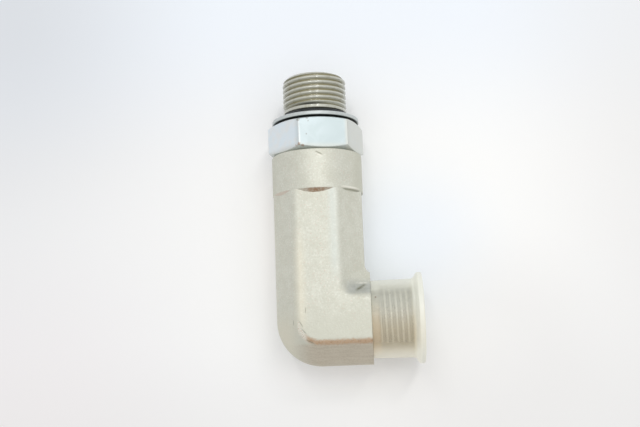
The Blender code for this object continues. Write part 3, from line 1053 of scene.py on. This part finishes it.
@dataclass
class ForgedElbow:
    """The forging: an octagonal leg and branch that meet in a round heel."""

    flat: float = 10.7
    flank: float = 11.05
    side: float = 11.35
    flank_angle: float = math.radians(52.5)
    corner_rounding: float = 2.6
    leg_length: float = 32.55
    shoulder: float = 12.6
    inner_fillet: float = 2.5
    section_step: float = 0.3
    outline_steps: tuple[int, ...] = (70, 44, 26, 44, 18, 56, 44)
    arc_steps: int = 10
    stud_bore: float = 4.78
    branch_bore: float = 4.93
    bore_overshoot: float = 3.5
    drill_point: float = math.radians(59.0)
    drill_steps: int = 96
    dent_spot: Spot = (9.3, 7.4, 8.4)
    dent_depth: float = 0.45
    dent_reach: float = 0.75

    def section(self) -> Array:
        """Work out half of the section, from the upper flat round to the lower.

        Neighbouring flats with normals at angles p and q meet in an arc.
        Its centre lies one rounding inside both flats, and its points are
        centre + rounding * (sin a, cos a) with a from p to q. The curve is
        then divided into equal steps.

        Returns:
            Half widths and heights in millimetres, a row of each.
        """
        turned = math.pi - self.flank_angle
        normals = np.array([0.0, self.flank_angle, math.pi / 2, turned, math.pi])
        distances = np.array([self.flat, self.flank, self.side, self.flank, self.flat])
        inward = distances - self.corner_rounding
        arcs = []
        for first in range(len(normals) - 1):
            pair = slice(first, first + 2)
            lines = np.stack([np.sin(normals[pair]), np.cos(normals[pair])], axis=1)
            angle = np.linspace(*normals[pair], self.arc_steps)
            around = self.corner_rounding * np.stack([np.sin(angle), np.cos(angle)])
            arcs.append(np.linalg.solve(lines, inward[pair])[:, None] + around)
        curve = np.concatenate(arcs, axis=1)
        travel = np.concatenate([[0], np.cumsum(np.hypot(*np.diff(curve)))])
        even = np.linspace(0, travel[-1], round(travel[-1] / self.section_step))
        return np.stack([np.interp(even, travel, values) for values in curve])

    def outline(self, width: Array) -> Array:
        """Work out the outline at each half width, seen from above.

        It goes down the leg's outer side, round the heel on an arc about
        the centre, along the branch, up its end face, back round the inner
        fillet, up the leg's inner side and across its end. The fillet's arc
        stops where it reaches the branch's end face.

        Args:
            width: a column of half widths.

        Returns:
            Points (x, y), one row for each half width.
        """
        centre = width + self.inner_fillet
        reach = np.clip((centre - self.shoulder) / self.inner_fillet, 0, 1)
        turn = 1.5 * math.pi - np.arcsin(reach)
        corner_y = centre + self.inner_fillet * np.sin(turn)
        share = [np.linspace(0, 1, n, endpoint=False)[None, :] for n in self.outline_steps]
        heel = math.pi * (1 + share[1] / 2)
        fillet = turn + (math.pi - turn) * share[4]
        stretches = [
            (-width, self.leg_length * (1 - share[0])),
            (width * np.cos(heel), width * np.sin(heel)),
            (self.shoulder * share[2], -width),
            (self.shoulder, (corner_y + width) * share[3] - width),
            tuple(centre + self.inner_fillet * wave(fillet) for wave in (np.cos, np.sin)),
            (width, centre + (self.leg_length - centre) * share[5]),
            (width * (1 - 2 * share[6]), self.leg_length),
        ]
        rows = [np.stack(np.broadcast_arrays(x, y), axis=-1) for x, y in stretches]
        return np.concatenate(rows, axis=1)

    def dented(self, points: Array) -> Array:
        """Push the surface in round the dent by a bell curve of the distance."""
        spot = np.array(self.dent_spot)
        away = np.linalg.norm(points - spot, axis=-1, keepdims=True)
        depth = self.dent_depth * np.exp(-((away / self.dent_reach) ** 2))
        return points - depth * spot / np.linalg.norm(spot)

    def drill(self, axis: Axis, radius: float, end: float) -> Object:
        """Make the tool that bores one run.

        Args:
            axis: the run.
            radius: the bore's radius.
            end: how far along the run it reaches.

        Returns:
            The tool.
        """
        deep = self.bore_overshoot
        tip = deep + radius / math.tan(self.drill_point)
        path = np.array([(0.0, -tip), (radius, -deep), (radius, end), (0.0, end)])
        return turned_piece(f"{axis.value}_drill", axis, path, steps=self.drill_steps)

    def build(self) -> None:
        """Stack the outlines, close them above and below and bore the piece."""
        width, height = self.section()
        outline = self.outline(width[:, None])
        rows, count, _ = outline.shape
        level = np.broadcast_to(height[:, None, None], (rows, count, 1))
        points = self.dented(np.concatenate([outline, level], axis=-1))
        quads = grid_quads(rows, count, close_rows=False)
        last = (rows - 1) * count
        caps = [list(range(count)), list(range(last + count - 1, last - 1, -1))]
        piece = make_piece("forged_elbow", points, quads + caps, flat_faces=len(caps))
        tools = [
            self.drill(Axis.STUD, self.stud_bore, self.leg_length + 2),
            self.drill(Axis.BRANCH, self.branch_bore, self.shoulder + 2),
        ]
        for tool in tools:
            modify(piece, "BOOLEAN", operation="DIFFERENCE", object=tool, solver="MANIFOLD")
        settle(piece, tools)
        dress(piece, SatinZinc(), Body.ELBOW, "elbow_body")


@dataclass
class StudEnd:
    """The turned barrel and the threaded stud, drilled right through."""

    bore: float = 4.75
    bore_edge: float = 0.2
    inside: float = 10.1
    step_start: float = 29.8
    step_top: float = 32.6
    barrel: float = 11.72
    barrel_end: float = 42.6
    barrel_edge: float = 0.35
    relief: float = 7.0
    relief_start: float = 42.1
    relief_end: float = 44.0
    land: float = 8.1
    land_end: float = 50.45
    undercut: float = 6.75
    thread_start: float = 54.25
    start_chamfer: float = 0.1
    groove: float = 7.6
    groove_start: float = 54.98
    groove_end: float = 55.82
    tip: float = 63.85
    tip_chamfer: float = 0.9
    edge: float = 0.12
    thread: PipeThread = PipeThread(groove_at=61.75, first_turn=-6.0, land_end=55.12)
    shade: Region = Region(
        (0.06, 0.06, 0.05), peak_x=(-0.8, 6.5), peak_y=(55.38, 0.55), z=(2.0, 6.0)
    )

    def build_barrel(self) -> None:
        """Turn the barrel, which stands a little proud of the leg's flats."""
        slope_start = self.step_top - (self.barrel - self.inside)
        corners = [
            (self.bore, self.step_start, 0),
            (self.inside, self.step_start, 0),
            (self.inside, slope_start, 0),
            (self.barrel, self.step_top, 0.15),
            (self.barrel, self.barrel_end, self.barrel_edge),
            (self.bore, self.barrel_end, 0),
        ]
        piece = turned_piece("turned_barrel", Axis.STUD, rounded_path(corners))
        dress(piece, BarrelZinc(), Body.ELBOW, "elbow_body")

    def build_stud(self) -> None:
        """Turn the stud and cut its thread, which starts at a relief groove."""
        crest = self.thread.radius
        bevel = self.land - self.relief
        slope = (self.land - self.undercut) / 2
        groove_slope = (crest - self.groove) * math.tan(self.thread.flank_angle)
        corners = [
            (self.bore, self.relief_start, 0),
            (self.relief, self.relief_start, 0),
            (self.relief, self.relief_end, 0.3),
            (self.land, self.relief_end + bevel, self.edge),
            (self.land, self.land_end, self.edge),
            (self.undercut, self.land_end + slope, 0.2),
            (self.undercut, self.thread_start, 0.2),
            (crest - self.start_chamfer, self.thread_start, 0.03),
            (crest, self.thread_start + self.start_chamfer, 0.05),
            (crest, self.groove_start, 0.05),
            (self.groove, self.groove_start + groove_slope, 0.1),
            (self.groove, self.groove_end - groove_slope, 0.1),
            (crest, self.groove_end, 0.05),
            (crest, self.tip - self.tip_chamfer, 0.05),
            (crest - self.tip_chamfer, self.tip, self.edge),
            (self.bore + self.bore_edge, self.tip, 0.05),
            (self.bore, self.tip - self.bore_edge, 0.05),
        ]
        path = refined(rounded_path(corners), self.thread_start, self.tip - 0.05)
        piece = turned_piece("stud_thread", Axis.STUD, path, self.thread)
        finish = ThreadZinc("stud_thread_zinc", Axis.STUD, self.tip, groove=self.shade)
        dress(piece, finish, Body.ELBOW, "elbow_body")

    def build(self) -> None:
        """Build the barrel and the stud."""
        self.build_barrel()
        self.build_stud()


@dataclass
class BranchEnd:
    """The branch's neck and thread, with the cone that a hose seats in."""

    bore: float = 4.9
    start: float = 10.4
    neck: float = 7.25
    thread_start: float = 14.8
    end: float = 22.85
    end_chamfer: float = 0.7
    seat_depth: float = 2.25
    seat_angle: float = math.radians(30.0)
    edge: float = 0.1
    thread: PipeThread = PipeThread(groove_at=22.12)
    crest: Colour = (0.6, 0.59, 0.495)
    root: Colour = (0.35, 0.335, 0.255)
    scratches: Noise = Noise(2.2, 2.0, 9.0, stretch=(0.1, 1.0, 1.0))

    def build(self) -> None:
        """Turn the branch's end and cut its thread."""
        radius = self.thread.radius
        slope_start = self.thread_start - (radius - self.neck) / 2
        mouth = self.bore + self.seat_depth * math.tan(self.seat_angle)
        corners = [
            (self.bore, self.start, 0),
            (self.neck, self.start, 0),
            (self.neck, slope_start, 0.2),
            (radius, self.thread_start, 0.05),
            (radius, self.end - self.end_chamfer, 0.05),
            (radius - self.end_chamfer, self.end, self.edge),
            (mouth, self.end, self.edge),
            (self.bore, self.end - self.seat_depth, 0.05),
        ]
        path = refined(rounded_path(corners), slope_start, self.end - 0.05)
        piece = turned_piece("branch_thread", Axis.BRANCH, path, self.thread)
        # Below its crest flats the branch thread is painted dark olive: the thread's own tone, and
        # painted shade on its flanks and roots.
        finish = ThreadZinc(
            "branch_thread_zinc",
            Axis.BRANCH,
            self.end,
            crest=self.crest,
            root=self.root,
            metallic=0.2,
            roughness=0.45,
            sheen=0.0,
            crest_depth=0.0,
            root_depth=0.13,
            scratches=self.scratches,
        )
        dress(piece, finish, Body.ELBOW, "elbow_body")


@dataclass
class Locknut:
    """The hexagon locknut, chamfered on both faces."""

    flat: float = 11.0
    bottom: float = 42.9
    top: float = 51.05
    face: float = 10.6
    chamfer_angle: float = math.radians(20.0)
    bore: float = 8.4
    mouth: float = 9.0
    mouth_depth: float = 0.6
    turn: float = math.radians(13.6)
    facets: int = 6
    facet_steps: int = 28
    side_rows: int = 14
    edge_bevel: float = 0.2
    sharp_angle: float = math.radians(20.0)

    def build(self) -> None:
        """Build the nut from rows of points round its axis.

        The hexagon's radius is flat / cos(a), with a measured from the
        middle of each facet. Each chamfer is a cone that leaves the face's
        edge at the chamfer's angle, so at radius r it ends
        (r - face) * tan(angle) below the face, which draws its arcs.
        """
        half = math.pi / self.facets
        local = np.linspace(-half, half, self.facet_steps, endpoint=False)
        angle = (local[None, :] + (np.arange(self.facets) * 2 * half)[:, None]).reshape(1, -1)
        hexagon = np.tile(self.flat / np.cos(local), self.facets)[None, :]
        drop = (hexagon - self.face) * math.tan(self.chamfer_angle)
        share = np.linspace(0, 1, self.side_rows)[:, None]
        side = (self.bottom + drop) * (1 - share) + (self.top - drop) * share
        rows = [
            (self.bore, self.bottom + self.mouth_depth),
            (self.mouth, self.bottom),
            (self.face, self.bottom),
            (hexagon, side),
            (self.face, self.top),
            (self.mouth, self.top),
            (self.bore, self.top - self.mouth_depth),
        ]
        grids = [np.broadcast_arrays(radius, along, angle)[:2] for radius, along in rows]
        radius, along = (np.concatenate(parts) for parts in zip(*grids))
        points = place(Axis.STUD, radius, angle + self.turn, along)
        quads = grid_quads(*radius.shape, close_rows=True)
        piece = make_piece("hex_locknut", points, quads, self.sharp_angle)
        modify(
            piece,
            "BEVEL",
            width=self.edge_bevel * MILLIMETRE,
            segments=2,
            limit_method="ANGLE",
            angle_limit=self.sharp_angle,
            harden_normals=True,
        )
        settle(piece)
        dress(piece, BrightZinc(), Body.NUT, "locknut")


@dataclass
class Seal:
    """The backup washer and the rubber ring in the stud's undercut."""

    washer_inner: float = 7.05
    washer_outer: float = 11.4
    washer_bottom: float = 51.5
    washer_top: float = 52.4
    washer_edge: float = 0.16
    inner_edge: float = 0.1
    seat_rim: float = 9.0
    seat_depth: float = 0.6
    ring_radius: float = 7.95
    ring_middle: float = 53.22
    ring_section: float = 0.85
    ring_steps: int = 32

    def build_washer(self) -> None:
        """Turn the washer with its edges rounded."""
        corners = [
            (self.washer_inner, self.washer_bottom, self.inner_edge),
            (self.washer_outer, self.washer_bottom, self.washer_edge),
            (self.washer_outer, self.washer_top, self.washer_edge),
            (self.seat_rim, self.washer_top, self.inner_edge),
            (self.washer_inner, self.washer_top - self.seat_depth, self.inner_edge),
        ]
        piece = turned_piece("seal_washer", Axis.STUD, rounded_path(corners))
        dress(piece, WasherZinc(), Body.WASHER, "backup_washer")

    def build_ring(self) -> None:
        """Turn the rubber ring: a circle carried round the stud."""
        angle = np.arange(self.ring_steps) * FULL_TURN / self.ring_steps
        circle = self.ring_section * np.stack([np.cos(angle), np.sin(angle)], axis=1)
        path = circle + (self.ring_radius, self.ring_middle)
        piece = turned_piece("rubber_ring", Axis.STUD, path)
        dress(piece, BlackNitrile(), Body.ELBOW, "stud_oring")

    def build(self) -> None:
        """Build the washer and the ring."""
        self.build_washer()
        self.build_ring()


@dataclass
class BranchCap:
    """The push-on cap: a sleeve over the thread with a dished flange."""

    inner: float = 8.63
    mouth_radius: float = 9.8
    root_radius: float = 9.95
    flange_radius: float = 11.5
    dish_radius: float = 8.4
    dish_slope: float = 0.35
    dish_depth: float = 1.1
    mouth: float = 12.65
    floor: float = 23.15
    face: float = 25.55
    rim_thickness: float = 1.3
    root_thickness: float = 2.3
    arc_steps: int = 6

    def build(self) -> None:
        """Turn the cap; its profile starts and ends on the axis."""
        corners = [
            (0.0, self.face - self.dish_depth, 0),
            (self.dish_radius, self.face - self.dish_depth, 0.4),
            (self.dish_radius + self.dish_slope, self.face, 0.25),
            (self.flange_radius, self.face, 0.45),
            (self.flange_radius, self.face - self.rim_thickness, 0.4),
            (self.root_radius, self.face - self.root_thickness, 0.8),
            (self.mouth_radius, self.mouth, 0.12),
            (self.inner, self.mouth, 0.1),
            (self.inner, self.floor, 0.3),
            (0.0, self.floor, 0),
        ]
        piece = turned_piece("thread_cap", Axis.BRANCH, rounded_path(corners, self.arc_steps))
        dress(piece, NaturalPolyethylene(), Body.CAP, "branch_cap")


@dataclass(frozen=True)
class SoftBox:
    """A soft box: a rectangular light, placed round the elbow in millimetres."""

    name: str
    spot: Spot
    width: float
    length: float
    watts: float
    colour: Colour
    target: Spot = (0.0, 25.0, 0.0)

    def build(self) -> None:
        """Hang the light and turn it towards its target."""
        light = bpy.data.lights.new(self.name, "AREA")
        light.shape = "RECTANGLE"
        light.size = self.width * MILLIMETRE
        light.size_y = self.length * MILLIMETRE
        light.energy = self.watts
        light.color = self.colour
        lamp = add_object(self.name, light)
        spot, target = (Vector(to_frame(np.array(p))) for p in (self.spot, self.target))
        lamp.location = spot
        lamp.rotation_euler = (spot - target).to_track_quat("Z", "Y").to_euler()


@dataclass
class Studio:
    """The pale floor, the soft lights and the camera above the part."""

    image_width: int = 640
    focal_pixels: float = 900.0
    sensor: float = 36.0
    clip: tuple[float, float] = (0.01, 20.0)
    tilt: float = math.radians(9.733)
    yaw: float = math.radians(3.309)
    roll: float = math.radians(-2.117)
    distance: float = 234.2
    target: Spot = (0.36, 27.89, 0.0)
    bright: Colour = (0.95, 0.945, 0.93)
    outer: Colour = (0.8, 0.8, 0.805)
    cool: Colour = (0.84, 0.89, 0.955)
    warm: Colour = (0.86, 0.815, 0.815)
    dim: Colour = (0.64, 0.66, 0.69)
    side: Colour = (0.79, 0.775, 0.76)
    lit: Colour = (0.985, 0.965, 0.955)
    glow_colour: Colour = (1.0, 1.0, 1.0)
    glow: float = 0.075
    roughness: float = 0.9
    floor_half: float = 3.0
    # Painted light on the floor: darker away from the part and towards its right, bottom and top
    # left, cooler towards the top and warmer towards the lower left. There is a painted bluish
    # shade right of the leg and a painted shadow of the cap below and right of it.
    floor_regions: tuple[Region, ...] = (
        Region(outer, spot=(32.0, 26.0, -12.2), away=(20.0, 150.0)),
        Region(cool, 0.8, y=(40.0, 90.0)),
        Region(warm, 0.7, x=(-20.0, -80.0), y=(40.0, -30.0)),
        Region(cool, 0.8, spot=(20.0, 18.0, -12.2), away=(36.0, 6.0)),
        Region(dim, 0.8, x=(-20.0, -90.0), y=(20.0, 90.0)),
        Region(side, 0.55, x=(40.0, 95.0)),
        Region(side, 0.4, y=(0.0, -30.0)),
        Region(side, 0.55, spot=(44.0, -12.0, -12.2), away=(42.0, 12.0)),
    )
    # Painted light that lifts the floor's shade under the part and left of the leg.
    lit_regions: tuple[Region, Region] = (
        Region(lit, peak_x=(2.0, 22.0), peak_y=(-13.0, 7.0)),
        Region(lit, peak_x=(-14.5, 6.0), peak_y=(26.0, 40.0)),
    )
    sky_colour: Colour = (0.97, 0.98, 1.0)
    sky_strength: float = 0.54
    lights: tuple[SoftBox, ...] = (
        SoftBox("ceiling", (150.0, 60.0, 1200.0), 2000, 2000, 5.9, (1.0, 1.0, 1.0)),
        SoftBox("tube_left", (-97.0, 250.0, 640.0), 18, 400, 0.4, (1.0, 1.0, 0.98)),
        SoftBox("tube_right", (163.0, 250.0, 650.0), 40, 400, 0.8, (1.0, 1.0, 0.98)),
    )

    def build_camera(self) -> None:
        """Set the camera: yaw, tilt and roll about the target, then back off."""
        turn = Matrix.Rotation(self.yaw, 3, "Y") @ Matrix.Rotation(self.tilt, 3, "X")
        turn = turn @ Matrix.Rotation(self.roll, 3, "Z")
        target = Vector(to_frame(np.array(self.target)))
        data = bpy.data.cameras.new("camera")
        data.sensor_width = self.sensor
        data.lens = self.focal_pixels * self.sensor / self.image_width
        data.clip_start, data.clip_end = self.clip
        camera = add_object("camera", data)
        camera.matrix_world = turn.to_4x4()
        camera.location = target + turn @ Vector((0, 0, self.distance * MILLIMETRE))
        bpy.context.scene.camera = camera

    def build_floor(self) -> None:
        """Lay the floor at the frame's lowest level."""
        half = self.floor_half
        corners = [(-half, -half, 0), (half, -half, 0), (half, half, 0), (-half, half, 0)]
        mesh = bpy.data.meshes.new("floor")
        mesh.from_pydata(corners, [], [(0, 1, 2, 3)])
        floor = add_object("floor", mesh)
        recipe = Recipe("pale_floor")
        under, beside = (recipe.mask(region) for region in self.lit_regions)
        lit = (under.at_least(beside), self.lit)
        material = recipe.finish(
            base_color=recipe.layers(self.bright, *self.floor_regions, lit),
            roughness=self.roughness,
            emission_color=self.glow_colour,
            emission_strength=self.glow,
        )
        floor.data.materials.append(material)

    def build_sky(self) -> None:
        """Fill the room with even pale light."""
        world = bpy.data.worlds.new("room")
        world.use_nodes = True
        background = world.node_tree.nodes["Background"]
        background.inputs["Color"].default_value = (*self.sky_colour, 1.0)
        background.inputs["Strength"].default_value = self.sky_strength
        bpy.context.scene.world = world

    def build(self) -> None:
        """Set up camera, floor, sky and lights."""
        self.build_camera()
        self.build_floor()
        self.build_sky()
        for light in self.lights:
            light.build()
        bpy.context.scene.view_settings.view_transform = "Standard"


def main() -> None:
    """Build every sub-assembly and the studio."""
    logging.basicConfig(level=logging.INFO, format="%(name)s: %(message)s")
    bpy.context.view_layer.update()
    for part in (ForgedElbow, StudEnd, BranchEnd, Locknut, Seal, BranchCap, Studio):
        part().build()


if __name__ == "__main__":
    main()
